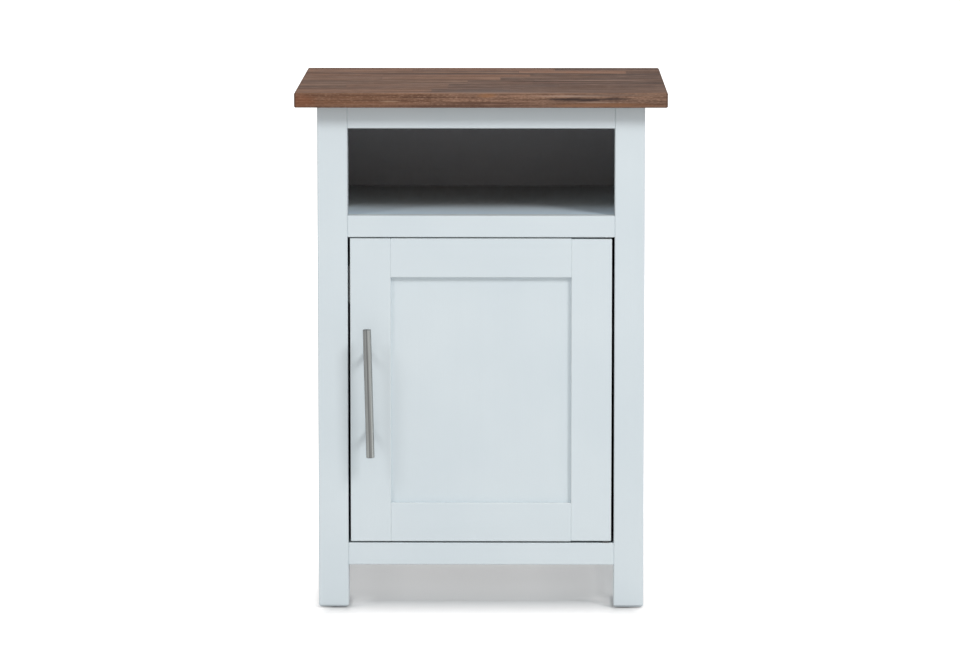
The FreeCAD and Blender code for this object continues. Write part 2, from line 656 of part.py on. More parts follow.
# Screws and glides
top_screw = wood_screw("top_screw_pattern", "top_screw_diameter", "top_screw_length", "top_screw_head",
                       "top_screw_head_height")
group("top_screws", top_screw, top_screw_places)
catch_screw = wood_screw("catch_screw_pattern", "small_screw_diameter", "catch_screw_length",
                         "small_screw_head", "small_screw_head_height")
group("catch_screws", catch_screw, catch_screw_places)
strike_screw = wood_screw("strike_screw_pattern", "small_screw_diameter", "strike_screw_length",
                          "small_screw_head", "small_screw_head_height")
group("strike_screw", strike_screw,
      [("-y", (STRIKE_SCREW_X, f"{FRONT} + door_thickness + strike_thickness", CATCH_Z))])
glide = turned("glide_pattern", (
    ("0", "0"),
    ("glide_diameter / 2", "0"),
    ("glide_diameter / 2", "glide_height"),
    ("glide_nail_diameter / 2", "glide_height"),
    ("glide_nail_diameter / 2", "glide_height + glide_nail_length"),
    ("0", "glide_height + glide_nail_length"),
))
group("foot_glides", glide, [
    ("+z", (f"{sign}({BODY_HALF} - {width} / 2)", y, "0"))
    for width, y in (("leg_side", f"{FRONT} + leg_side / 2"), (REAR_LEG_WIDTH, f"{BACK} - leg_side / 2"))
    for sign in ("-", "")])

doc.recompute()
for item in doc.Objects:
    if "Invalid" in item.State or "Error" in item.State:
        raise RuntimeError(f"{item.Name} ({item.Label}) failed: {item.State}")
os.makedirs("parts", exist_ok=True)
for node in NODES:
    if node.Shape.isNull() or not node.Shape.isValid():
        raise RuntimeError(f"{node.Label} has no valid shape")
    node.Shape.exportStep(f"parts/{node.Label}.step")
    print(node.Label, len(node.Shape.Solids), round(node.Shape.Volume))
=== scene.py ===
import math

import bmesh
import bpy
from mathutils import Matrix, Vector


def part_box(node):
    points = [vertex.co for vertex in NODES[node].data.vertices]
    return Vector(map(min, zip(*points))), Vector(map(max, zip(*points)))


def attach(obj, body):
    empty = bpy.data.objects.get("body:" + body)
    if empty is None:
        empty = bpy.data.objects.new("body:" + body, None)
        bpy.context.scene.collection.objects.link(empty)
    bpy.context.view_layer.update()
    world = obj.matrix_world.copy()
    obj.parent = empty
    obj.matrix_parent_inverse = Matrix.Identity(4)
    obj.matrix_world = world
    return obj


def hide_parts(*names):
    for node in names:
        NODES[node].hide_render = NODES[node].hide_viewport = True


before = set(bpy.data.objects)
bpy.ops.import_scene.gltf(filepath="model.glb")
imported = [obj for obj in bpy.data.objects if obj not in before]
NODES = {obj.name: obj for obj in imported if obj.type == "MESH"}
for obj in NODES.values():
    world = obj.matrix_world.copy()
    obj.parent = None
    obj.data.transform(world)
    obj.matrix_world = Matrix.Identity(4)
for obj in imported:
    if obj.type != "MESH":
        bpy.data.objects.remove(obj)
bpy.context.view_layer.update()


# Shader building blocks

# The range that most of a noise keeps to
NOISE_LOW, NOISE_HIGH = 0.3, 0.7


def add(tree, kind, inputs=None, **settings):
    """Adds a node, sets its own properties, and fills its inputs with values or links."""
    item = tree.nodes.new(kind)
    for key, value in settings.items():
        setattr(item, key, value)
    for key, value in (inputs or {}).items():
        if isinstance(value, bpy.types.NodeSocket):
            tree.links.new(value, item.inputs[key])
        else:
            item.inputs[key].default_value = value
    return item


def calc(tree, operation, *values, clamp=False):
    inputs = dict(enumerate(values))
    return add(tree, "ShaderNodeMath", inputs, operation=operation, use_clamp=clamp).outputs[0]


def times(tree, product, *factors):
    """The product of two or more values."""
    for factor in factors:
        product = calc(tree, "MULTIPLY", product, factor)
    return product


def vector(tree, operation, *values):
    return add(tree, "ShaderNodeVectorMath", dict(enumerate(values)), operation=operation).outputs[0]


def axes(tree, value):
    """The three parts of a place or a direction."""
    return add(tree, "ShaderNodeSeparateXYZ", {0: value}).outputs


def offset(tree, x=0.0, y=0.0, z=0.0):
    """A vector of three values or links."""
    return add(tree, "ShaderNodeCombineXYZ", {0: x, 1: y, 2: z}).outputs[0]


def stretch(tree, place, scale):
    """A place times one number, or times one for each axis."""
    if not isinstance(scale, tuple):
        scale = (scale, scale, scale)
    return vector(tree, "MULTIPLY", place, scale)


def spread(tree, value, low, high, to_low=0.0, to_high=1.0, curve="LINEAR"):
    """Maps a value from one range to another, held at both ends."""
    inputs = {0: value, 1: low, 2: high, 3: to_low, 4: to_high}
    return add(tree, "ShaderNodeMapRange", inputs, interpolation_type=curve).outputs[0]


def mottle(tree, place, scale, detail=2.0, roughness=0.5, distortion=0.0, output="Fac"):
    """Noise of so many blotches to the metre, with one number for all axes or one for each."""
    inputs = {"Vector": stretch(tree, place, scale), "Scale": 1.0, "Detail": detail,
              "Roughness": roughness, "Distortion": distortion}
    return add(tree, "ShaderNodeTexNoise", inputs).outputs[output]


def graded(tree, mottling, to_low=0.0, to_high=1.0):
    """Maps the usual range of a noise to another range."""
    return spread(tree, mottling, NOISE_LOW, NOISE_HIGH, to_low, to_high)


def choose(tree, switch, off, on):
    """One of two values."""
    return add(tree, "ShaderNodeMix", {0: switch, 2: off, 3: on}).outputs[0]


def tint(tree, factor, under, over):
    """One colour over another."""
    return add(tree, "ShaderNodeMix", {0: factor, 6: under, 7: over}, data_type="RGBA").outputs[2]


def stain(tree, colour, strength, shade):
    """A display colour over another colour."""
    return tint(tree, strength, colour, srgb(*shade))


def steps(tree, value, stops, interpolation="CONSTANT"):
    """A colour ramp with the given stops of place and colour."""
    item = add(tree, "ShaderNodeValToRGB", {0: value})
    item.color_ramp.interpolation = interpolation
    elements = item.color_ramp.elements
    elements.remove(elements[1])
    elements[0].position, elements[0].color = stops[0]
    for place, colour in stops[1:]:
        elements.new(place).color = colour
    return item.outputs


def srgb(red, green, blue):
    """A display colour of 0 to 255 as the linear colour that a socket takes."""
    def linear(value):
        value /= 255
        return value / 12.92 if value <= 0.04045 else ((value + 0.055) / 1.055) ** 2.4
    return (linear(red), linear(green), linear(blue), 1.0)


def shader_group(name, inputs, outputs):
    """An empty group with its sockets, each a name and a kind, and a value for an input that needs one."""
    tree = bpy.data.node_groups.new(name, "ShaderNodeTree")
    for label, kind, value in inputs:
        socket = tree.interface.new_socket(label, in_out="INPUT", socket_type=f"NodeSocket{kind}")
        if value is not None:
            socket.default_value = value
    for label, kind in outputs:
        tree.interface.new_socket(label, in_out="OUTPUT", socket_type=f"NodeSocket{kind}")
    return tree, tree.nodes.new("NodeGroupInput").outputs, tree.nodes.new("NodeGroupOutput").inputs


def use(tree, group, inputs):
    return add(tree, "ShaderNodeGroup", inputs, node_tree=group).outputs


# Effects that several finishes share

def make_timber_group():
    """Long grain along the given place's X axis: broad figure, fine fibre and short pores."""
    tree, given, out = shader_group(
        "timber grain",
        [("Vector", "Vector", None), ("Seed", "Float", 0.0), ("Wander", "Float", 0.01)],
        [("Figure", "Float"), ("Fibre", "Float"), ("Pores", "Float")])
    # Each seed looks at another place, and the grain sways slowly to both sides
    shift = offset(tree, *(times(tree, given["Seed"], step) for step in (3.17, 1.73, 2.39)))
    place = vector(tree, "ADD", given["Vector"], shift)
    drift = mottle(tree, place, (3.0, 9.0, 9.0), 1.0, output="Color")
    sway = vector(tree, "SUBTRACT", drift, (0.5, 0.5, 0.5))
    sway = add(tree, "ShaderNodeVectorMath", {0: sway, "Scale": given["Wander"]}, operation="SCALE").outputs[0]
    place = vector(tree, "ADD", place, stretch(tree, sway, (0.0, 1.0, 1.0)))
    tree.links.new(mottle(tree, place, (2.2, 55.0, 55.0), 4.0, 0.6), out["Figure"])
    tree.links.new(mottle(tree, place, (11.0, 620.0, 620.0)), out["Fibre"])
    pores = mottle(tree, place, (70.0, 1500.0, 1500.0), 1.0)
    tree.links.new(spread(tree, pores, 0.6, 0.74), out["Pores"])
    return tree


def make_edge_group():
    """A mask along the edges of a board whose two far corners are given."""
    tree, given, out = shader_group(
        "board edge",
        [("Vector", "Vector", None), ("Low", "Vector", None), ("High", "Vector", None),
         ("Width", "Float", 0.002)],
        [("Mask", "Float")])
    near = vector(tree, "MINIMUM", vector(tree, "SUBTRACT", given["Vector"], given["Low"]),
                  vector(tree, "SUBTRACT", given["High"], given["Vector"]))
    x, y, z = axes(tree, near)
    # Near an edge, two of the three distances to the board's faces are small
    second = calc(tree, "MAXIMUM", calc(tree, "MINIMUM", x, y),
                  calc(tree, "MINIMUM", calc(tree, "MAXIMUM", x, y), z))
    ragged = mottle(tree, given["Vector"], 90.0, 3.0)
    reach = times(tree, given["Width"], graded(tree, ragged, 0.3, 1.0))
    mask = spread(tree, calc(tree, "DIVIDE", second, reach), 0.0, 1.0, 1.0, 0.0, "SMOOTHSTEP")
    tree.links.new(mask, out["Mask"])
    return tree


def make_dust_group():
    """Fine dust that settles on faces turned upwards."""
    tree, given, out = shader_group(
        "settled dust",
        [("Vector", "Vector", None), ("Normal", "Vector", None), ("Amount", "Float", 0.1)],
        [("Mask", "Float")])
    upward = spread(tree, axes(tree, given["Normal"])[2], 0.6, 0.95)
    drift = spread(tree, mottle(tree, given["Vector"], 7.0, 4.0), 0.3, 0.75)
    speck = spread(tree, mottle(tree, given["Vector"], 900.0, 1.0), 0.55, 0.75)
    film = times(tree, upward, calc(tree, "ADD", drift, times(tree, speck, 0.6)))
    tree.links.new(calc(tree, "MULTIPLY", film, given["Amount"], clamp=True), out["Mask"])
    return tree


def make_mark_group():
    """A soft oval mark, with its middle and its half lengths along the three axes."""
    tree, given, out = shader_group(
        "timber mark",
        [("Vector", "Vector", None), ("Middle", "Vector", None), ("Reach", "Vector", (0.01, 0.01, 0.01)),
         ("Fray", "Float", 0.5)],
        [("Mask", "Float")])
    away = vector(tree, "SUBTRACT", given["Vector"], given["Middle"])
    away = vector(tree, "DIVIDE", away, given["Reach"])
    distance = add(tree, "ShaderNodeVectorMath", {0: away}, operation="LENGTH").outputs["Value"]
    fray = calc(tree, "SUBTRACT", mottle(tree, given["Vector"], (45.0, 420.0, 420.0), 3.0), 0.5)
    distance = calc(tree, "ADD", distance, times(tree, fray, given["Fray"]))
    tree.links.new(spread(tree, distance, 0.25, 1.0, 1.0, 0.0, "SMOOTHSTEP"), out["Mask"])
    return tree


TIMBER = make_timber_group()
EDGE = make_edge_group()
DUST = make_dust_group()
MARK = make_mark_group()

# Turns that lay the grain of a board along the timber group's X axis, where that of a board across already lies
GRAIN_TURNS = {"deep": (0.0, 0.0, math.pi / 2), "upright": (0.0, math.pi / 2, 0.0)}


def timber_grain(tree, place, run, seed, wander):
    """The grain of a board that runs across, deep or upright."""
    if run in GRAIN_TURNS:
        place = add(tree, "ShaderNodeMapping", {"Vector": place, "Rotation": GRAIN_TURNS[run]}).outputs[0]
    return use(tree, TIMBER, {"Vector": place, "Seed": seed, "Wander": wander})


def worn_edges(tree, place, node, width):
    """A mask of a node's edges, where use wears the finish."""
    low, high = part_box(node)
    return use(tree, EDGE, {"Vector": place, "Low": low, "High": high, "Width": width})["Mask"]


def settled_dust(tree, place, facing, amount):
    """A mask of the dust on what faces upwards."""
    return use(tree, DUST, {"Vector": place, "Normal": facing, "Amount": amount})["Mask"]


def new_finish(name):
    """A material and its tree, with the place and the facing of each point of the piece."""
    material = bpy.data.materials.new(name)
    material.use_nodes = True
    coords = add(material.node_tree, "ShaderNodeTexCoord").outputs
    return material, material.node_tree, coords["Object"], coords["Normal"]


def finished(material, colour, rough, height, depth, plain=None):
    """Gives a finish its colour, its roughness, a relief of the given depth, and the shader's plain values."""
    tree = material.node_tree
    bump = add(tree, "ShaderNodeBump", {"Strength": 1.0, "Distance": depth, "Height": height})
    shader = tree.nodes["Principled BSDF"]
    for label, link in (("Base Color", colour), ("Roughness", rough), ("Normal", bump.outputs[0])):
        tree.links.new(link, shader.inputs[label])
    for label, value in (plain or {}).items():
        shader.inputs[label].default_value = value
    return material


# White lacquer of the legs, rails, panels and door

PAINT = srgb(214, 223, 227)
PAINT_DEEP = srgb(208, 218, 223)
PAINT_GRAIN = srgb(196, 205, 209)
PAINT_WORN = srgb(224, 228, 226)
PAINT_DUST = srgb(198, 199, 196)
PAINT_RELIEF = 0.00006
# Painted light along the shelf's front and how deep it reaches, and painted shade towards the shelf's back
SHELF_PAINTED_LIGHT = srgb(213, 232, 246)
SHELF_LIT_DEPTH = 0.12
SHELF_PAINTED_SHADE = srgb(158, 154, 151)


def shelf_shades(tree, place, colour):
    """Painted light, a cool pale tint along the shelf's front, and painted shade, darker towards its back."""
    low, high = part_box("shelf")
    front, back = low[1], high[1]
    lit_end = front + SHELF_LIT_DEPTH
    y = axes(tree, place)[1]
    colour = tint(tree, spread(tree, y, front, lit_end, 1.0, 0.0), colour, SHELF_PAINTED_LIGHT)
    return tint(tree, spread(tree, y, lit_end, back, 0.0, 0.6), colour, SHELF_PAINTED_SHADE)


def white_lacquer(node, run, seed):
    """Satin lacquer on one board, with the wood's grain faintly showing through."""
    material, tree, place, facing = new_finish(f"white_lacquer_{node}")
    timber = timber_grain(tree, place, run, seed, wander=0.02)
    worn = worn_edges(tree, place, node, width=0.0022)
    dust = settled_dust(tree, place, facing, amount=0.12)
    cloud = mottle(tree, place, 6.0, 3.0)
    colour = tint(tree, graded(tree, cloud), PAINT_DEEP, PAINT)
    colour = tint(tree, spread(tree, timber["Figure"], 0.42, 0.8, 0.0, 0.08), colour, PAINT_GRAIN)
    colour = tint(tree, times(tree, worn, 0.35), colour, PAINT_WORN)
    colour = tint(tree, dust, colour, PAINT_DUST)
    # The shelf also gets painted light at its front and painted shade at its back
    if node == "shelf":
        colour = shelf_shades(tree, place, colour)
    rough = calc(tree, "ADD", graded(tree, cloud, 0.4, 0.47), times(tree, dust, 0.4))
    rough = calc(tree, "SUBTRACT", rough, times(tree, worn, 0.06))
    peel = mottle(tree, place, 520.0)
    skin = calc(tree, "ADD", times(tree, timber["Fibre"], 0.6), times(tree, peel, 0.4))
    skin = calc(tree, "SUBTRACT", skin, times(tree, timber["Pores"], 0.35))
    return finished(material, colour, rough, skin, PAINT_RELIEF)


# Brown laminated top: staves glued side by side, each of two or more lengths

TOP_LOW, TOP_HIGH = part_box("tabletop")
TOP_WIDTH, TOP_DEPTH, _ = (high - low for low, high in zip(TOP_LOW, TOP_HIGH))
TOP_RELIEF = 0.00012
# Depth at which each stave ends, from the front edge, then its lengths: the share of the width where each
# starts, and its display colour
STAVES = [
    (0.072, [(0.0, (119, 87, 69)), (0.366, (92, 72, 63)), (0.575, (98, 74, 61))]),
    (0.134, [(0.0, (94, 73, 61)), (0.13, (108, 79, 63)), (0.41, (75, 57, 50)), (0.71, (95, 71, 58))]),
    (0.195, [(0.0, (98, 74, 60)), (0.46, (79, 59, 50)), (0.64, (64, 48, 42))]),
    (0.252, [(0.0, (116, 85, 67)), (0.22, (126, 92, 72)), (0.55, (78, 58, 49))]),
    (0.302, [(0.0, (136, 99, 77)), (0.63, (52, 38, 34))]),
    (0.343, [(0.0, (116, 84, 66)), (0.6, (142, 103, 82)), (0.9, (78, 57, 48))]),
    (TOP_DEPTH, [(0.0, (148, 110, 88)), (0.3, (134, 99, 79)), (0.7, (70, 51, 44))]),
]
# Half widths at which a glue line starts to fade and ends, and how much narrower it is between two lengths
GLUE_LINE = (0.00012, 0.00045)
BUTT_LESS = 0.0002
# Dark and light streaks along the grain: the scale and detail of their noise, whether only the front edge has
# them, and for each the two levels of the noise, its strength at both and its colour
STREAKS = [
    ((6.0, 190.0, 420.0), 3.0, False,
     [(0.34, 0.47, 0.78, 0.0, (88, 65, 54)), (0.53, 0.67, 0.0, 0.62, (158, 124, 103))]),
    ((48.0, 240.0, 620.0), 2.0, False,
     [(0.3, 0.46, 0.45, 0.0, (84, 62, 52)), (0.54, 0.7, 0.0, 0.4, (164, 130, 110))]),
    ((260.0, 240.0, 900.0), 1.0, True,
     [(0.3, 0.45, 0.48, 0.0, (82, 60, 50)), (0.7, 0.55, 0.48, 0.0, (168, 134, 112))]),
]
# Tones and knots of the front edge: middle, reach along the three axes, fray, strength and colour
FRONT_MARKS = [
    ((-0.150, -0.196, 0.6245), (0.085, 0.02, 0.0120), 0.5, 0.3, (126, 91, 69)),
    ((0.128, -0.196, 0.6252), (0.070, 0.02, 0.0042), 0.8, 0.6, (98, 78, 69)),
    ((0.117, -0.196, 0.6260), (0.037, 0.01, 0.0029), 1.8, 0.8, (46, 40, 40)),
    ((0.094, -0.196, 0.6271), (0.016, 0.01, 0.0009), 1.0, 0.6, (70, 58, 55)),
    ((0.164, -0.196, 0.6267), (0.026, 0.01, 0.0022), 1.8, 0.65, (58, 50, 49)),
    ((0.140, -0.196, 0.6229), (0.034, 0.01, 0.0008), 0.9, 0.6, (168, 144, 128)),
    ((0.112, -0.196, 0.6302), (0.060, 0.01, 0.0014), 0.9, 0.6, (174, 152, 138)),
    ((0.150, -0.196, 0.6192), (0.090, 0.03, 0.0036), 0.6, 0.7, (136, 98, 73)),
    ((0.007, -0.196, 0.6310), (0.016, 0.02, 0.0040), 0.8, 0.6, (150, 106, 72)),
    ((-0.108, -0.196, 0.6238), (0.017, 0.01, 0.0014), 0.9, 0.75, (158, 128, 106)),
    ((-0.020, -0.196, 0.6186), (0.120, 0.01, 0.0011), 0.9, 0.6, (86, 62, 52)),
    ((0.000, -0.196, 0.6219), (0.085, 0.01, 0.0018), 0.8, 0.75, (84, 61, 52)),
    ((-0.217, -0.196, 0.6240), (0.026, 0.03, 0.0120), 0.5, 0.5, (132, 84, 60)),
    ((0.160, -0.196, 0.6312), (0.070, 0.01, 0.0022), 0.6, 0.6, (118, 101, 91)),
]
# Tones and streaks of the upper face, in the same way, and last a painted highlight along the front arris
UPPER_MARKS = [
    ((0.000, -0.164, 0.634), (0.085, 0.044, 0.01), 0.5, 0.5, (78, 66, 63)),
    ((0.140, -0.168, 0.634), (0.130, 0.050, 0.01), 0.5, 0.4, (94, 74, 65)),
    ((-0.040, 0.106, 0.634), (0.240, 0.015, 0.01), 0.6, 0.9, (66, 50, 44)),
    ((0.100, 0.100, 0.634), (0.100, 0.011, 0.01), 0.6, 0.5, (84, 66, 58)),
    ((-0.170, -0.019, 0.634), (0.090, 0.009, 0.01), 0.6, 0.75, (80, 62, 55)),
    ((0.140, -0.002, 0.634), (0.110, 0.008, 0.01), 0.5, 0.8, (156, 124, 107)),
    ((0.160, -0.046, 0.634), (0.080, 0.007, 0.01), 0.6, 0.5, (84, 66, 58)),
    ((0.130, 0.125, 0.634), (0.060, 0.006, 0.01), 0.6, 0.5, (152, 116, 96)),
    ((-0.200, 0.149, 0.634), (0.026, 0.008, 0.01), 0.6, 0.8, (70, 54, 48)),
    ((0.075, -0.034, 0.634), (0.090, 0.010, 0.01), 0.6, 0.6, (100, 68, 56)),
    # Painted highlight along the front arris
    ((0.020, -0.196, 0.634), (0.160, 0.022, 0.0012), 0.4, 0.45, (156, 128, 112)),
]
# Colours of the front edge at its left and further right, and the span over which the one becomes the other
FRONT_LEFT, FRONT_RIGHT, FRONT_SPAN = srgb(136, 95, 71), srgb(137, 110, 94), (-0.2, 0.12)
# Heights above the underside between which the front edge is shaded, and how far in from the sawn ends a
# painted shade darkens the eased edges
UNDERSIDE_SHADE = (0.001, 0.0085)
SHADED_END_EDGES = (0.0005, 0.0028)
BROWNS = {
    "deep figure": (70, 52, 45), "pale figure": (160, 124, 102), "fibre": (92, 66, 53),
    "pores": (62, 45, 38), "underside": (82, 61, 52), "wide ring": (104, 74, 58),
    "tight ring": (76, 54, 43), "end pores": (56, 39, 32), "glue": (52, 38, 32),
    "worn": (150, 118, 98), "end_edge_shade": (62, 47, 41), "dust": (160, 152, 146),
}


def length_seed(stave, length):
    """A share that differs from one length of a stave to the next, for its own grain."""
    return ((stave * 5 + length * 3) % 11) / 11


def stave_colours(tree, place):
    """Each stave's colour by its lengths, its seed, and how near the place is to a glue line."""
    x, y, _ = axes(tree, place)
    share = spread(tree, x, TOP_LOW[0], TOP_HIGH[0])
    depth = calc(tree, "SUBTRACT", y, TOP_LOW[1])

    def distance(value, line):
        return calc(tree, "ABSOLUTE", calc(tree, "SUBTRACT", value, line))

    start = 0.0
    for number, (end, lengths) in enumerate(STAVES):
        stops = [(at, srgb(*shade)[:3] + (length_seed(number, index),))
                 for index, (at, shade) in enumerate(lengths)]
        own = steps(tree, share, stops)
        butt = TOP_WIDTH
        for at, _ in lengths[1:]:
            gap = distance(x, TOP_LOW[0] + at * TOP_WIDTH)
            butt = calc(tree, "MINIMUM", butt, calc(tree, "ADD", gap, BUTT_LESS))
        if number == 0:
            colour, seed, line = own["Color"], own["Alpha"], butt
        else:
            past = calc(tree, "GREATER_THAN", depth, start)
            colour = tint(tree, past, colour, own["Color"])
            seed = choose(tree, past, seed, calc(tree, "ADD", own["Alpha"], number))
            line = choose(tree, past, line, butt)
        start = end
    for end, _ in STAVES[:-1]:
        line = calc(tree, "MINIMUM", line, distance(depth, end))
    return colour, seed, line


def long_grain(tree, place, colour, timber, front):
    """The staves along their length, with streaks, pores, tones and knots, a painted shade low on the front
    edge and a painted highlight along its arris.
    """
    grain = tint(tree, spread(tree, timber["Figure"], 0.34, 0.52), srgb(*BROWNS["deep figure"]), colour)
    grain = stain(tree, grain, spread(tree, timber["Figure"], 0.52, 0.72, 0.0, 0.6), BROWNS["pale figure"])
    grain = stain(tree, grain, spread(tree, timber["Fibre"], 0.4, 0.75, 0.0, 0.25), BROWNS["fibre"])
    for scale, detail, front_only, shades in STREAKS:
        streak = mottle(tree, place, scale, detail)
        for low, high, at_low, at_high, shade in shades:
            amount = spread(tree, streak, low, high, at_low, at_high)
            grain = stain(tree, grain, times(tree, front, amount) if front_only else amount, shade)
    grain = stain(tree, grain, times(tree, timber["Pores"], 0.4), BROWNS["pores"])
    shade_low, shade_high = (TOP_LOW[2] + height for height in UNDERSIDE_SHADE)
    shaded = times(tree, front, spread(tree, axes(tree, place)[2], shade_low, shade_high, 0.45, 0.0))
    grain = stain(tree, grain, shaded, BROWNS["underside"])
    for middle, reach, fray, strength, shade in FRONT_MARKS + UPPER_MARKS:
        mark = use(tree, MARK, {"Vector": place, "Middle": middle, "Reach": reach, "Fray": fray})["Mask"]
        grain = stain(tree, grain, times(tree, mark, strength), shade)
    return grain


def end_grain(tree, place, seed):
    """Growth rings and open pores of the two sawn ends, with other rings for each stave."""
    shift = offset(tree, y=times(tree, seed, 0.37), z=0.09)
    rings = vector(tree, "ADD", stretch(tree, place, (0.0, 1.0, 1.0)), shift)
    wave = {"Vector": rings, "Scale": 150.0, "Distortion": 3.0, "Detail": 2.0, "Detail Scale": 0.6}
    ring = add(tree, "ShaderNodeTexWave", wave, wave_type="RINGS", rings_direction="X").outputs["Fac"]
    tight = spread(tree, ring, 0.2, 0.9, 0.0, 0.5)
    grain = stain(tree, srgb(*BROWNS["wide ring"]), tight, BROWNS["tight ring"])
    pores = spread(tree, mottle(tree, place, 900.0), 0.55, 0.7, 0.0, 0.6)
    return stain(tree, grain, pores, BROWNS["end pores"])


def brown_top():
    """Oiled brown hardwood, with end grain on the two ends and the knots of its front edge."""
    material, tree, place, facing = new_finish("oiled_brown_staves")
    colour, seed, line = stave_colours(tree, place)
    timber = timber_grain(tree, place, "across", seed, wander=0.012)
    x = axes(tree, place)[0]
    out_x, out_y, _ = axes(tree, facing)
    front = spread(tree, times(tree, out_y, -1.0), 0.5, 0.8)
    end = spread(tree, calc(tree, "ABSOLUTE", out_x), 0.6, 0.8)
    front_colour = tint(tree, spread(tree, x, *FRONT_SPAN), FRONT_LEFT, FRONT_RIGHT)
    colour = tint(tree, times(tree, front, 0.65), colour, front_colour)
    wood = tint(tree, end, long_grain(tree, place, colour, timber, front), end_grain(tree, place, seed))
    glue = spread(tree, line, *GLUE_LINE, 0.75, 0.0, "SMOOTHSTEP")
    wood = stain(tree, wood, glue, BROWNS["glue"])
    worn = worn_edges(tree, place, "tabletop", width=0.004)
    wood = stain(tree, wood, times(tree, worn, 0.3), BROWNS["worn"])
    # Painted shade: a dark line along the eased edges near the two sawn ends, on the top and front but not on
    # the ends themselves
    inboard = calc(tree, "SUBTRACT", TOP_HIGH[0], calc(tree, "ABSOLUTE", x))
    end_edge_shade = times(tree, spread(tree, inboard, *SHADED_END_EDGES, 0.7, 0.0), calc(tree, "SUBTRACT", 1.0, end))
    wood = stain(tree, wood, end_edge_shade, BROWNS["end_edge_shade"])
    wood = stain(tree, wood, settled_dust(tree, place, facing, amount=0.05), BROWNS["dust"])
    oil = mottle(tree, place, (14.0, 40.0, 40.0), 3.0)
    rough = calc(tree, "ADD", graded(tree, oil, 0.6, 0.72), times(tree, end, 0.12))
    rough = calc(tree, "ADD", rough, times(tree, timber["Pores"], 0.15))
    hollows = calc(tree, "ADD", times(tree, timber["Pores"], 0.5), glue)
    height = calc(tree, "SUBTRACT", times(tree, timber["Fibre"], 0.4), hollows)
    return finished(material, wood, rough, height, TOP_RELIEF, {"Specular IOR Level": 0.04})


# Bare softwood of the hidden cleats under the top

def bare_softwood(node, seed):
    material, tree, place, _ = new_finish(f"bare_softwood_{node}")
    timber = timber_grain(tree, place, "deep", seed, wander=0.03)
    figure = spread(tree, timber["Figure"], 0.35, 0.65)
    colour = tint(tree, figure, srgb(170, 134, 94), srgb(206, 176, 136))
    colour = stain(tree, colour, spread(tree, timber["Fibre"], 0.4, 0.75, 0.0, 0.35), (158, 120, 82))
    worn = worn_edges(tree, place, node, width=0.002)
    colour = stain(tree, colour, times(tree, worn, 0.4), (222, 198, 164))
    rough = graded(tree, timber["Figure"], 0.62, 0.74)
    return finished(material, colour, rough, timber["Fibre"], depth=0.0002)


# Thin painted fibreboard of the back

# Painted shade and light on the cubby's back: its colour at the shelf and at its top, and how far below the
# shelf's upper face they start
CUBBY_SHADED, CUBBY_LIT = srgb(166, 164, 165), srgb(212, 211, 216)
CUBBY_BELOW = 0.01


def back_fibreboard():
    """Grey paint on felted fibre; inside the cubby, painted shade darkens it towards the shelf and painted
    light makes it paler above.
    """
    material, tree, place, facing = new_finish("painted_fibreboard")
    cloud = mottle(tree, place, 9.0, 4.0)
    felt = mottle(tree, place, (260.0, 260.0, 420.0), 3.0, 0.65, 1.2)
    colour = tint(tree, graded(tree, cloud), srgb(180, 180, 180), srgb(190, 189, 189))
    colour = stain(tree, colour, spread(tree, felt, 0.5, 0.8, 0.0, 0.2), (164, 162, 160))
    shelf_top, cubby_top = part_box("shelf")[1][2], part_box("front_top_rail")[0][2]
    z = axes(tree, place)[2]
    # Painted shade towards the shelf and painted light towards the top of the cubby
    cubby_shade_and_light = tint(tree, spread(tree, z, shelf_top, cubby_top), CUBBY_SHADED, CUBBY_LIT)
    above = calc(tree, "GREATER_THAN", z, shelf_top - CUBBY_BELOW)
    inward = calc(tree, "LESS_THAN", axes(tree, facing)[1], -0.5)
    colour = tint(tree, times(tree, above, inward, 0.85), colour, cubby_shade_and_light)
    worn = worn_edges(tree, place, "back_panel", width=0.0025)
    colour = stain(tree, colour, times(tree, worn, 0.5), (176, 154, 128))
    return finished(material, colour, graded(tree, felt, 0.55, 0.68), felt, depth=0.00012)


# Metals

# How far the bar leans sideways for each unit of height
BAR_SLOPE = math.tan(math.radians(1.4))
# Where the bar's painted reflection, a darker line, lies left of its middle, and the half widths between which
# it fades
BAR_REFLECTION_LEFT, BAR_REFLECTION = 0.0006, (0.0003, 0.0017)
# Distances right of the bar's middle between which a painted highlight makes it brighter
BAR_HIGHLIGHT = (0.0008, 0.0028)


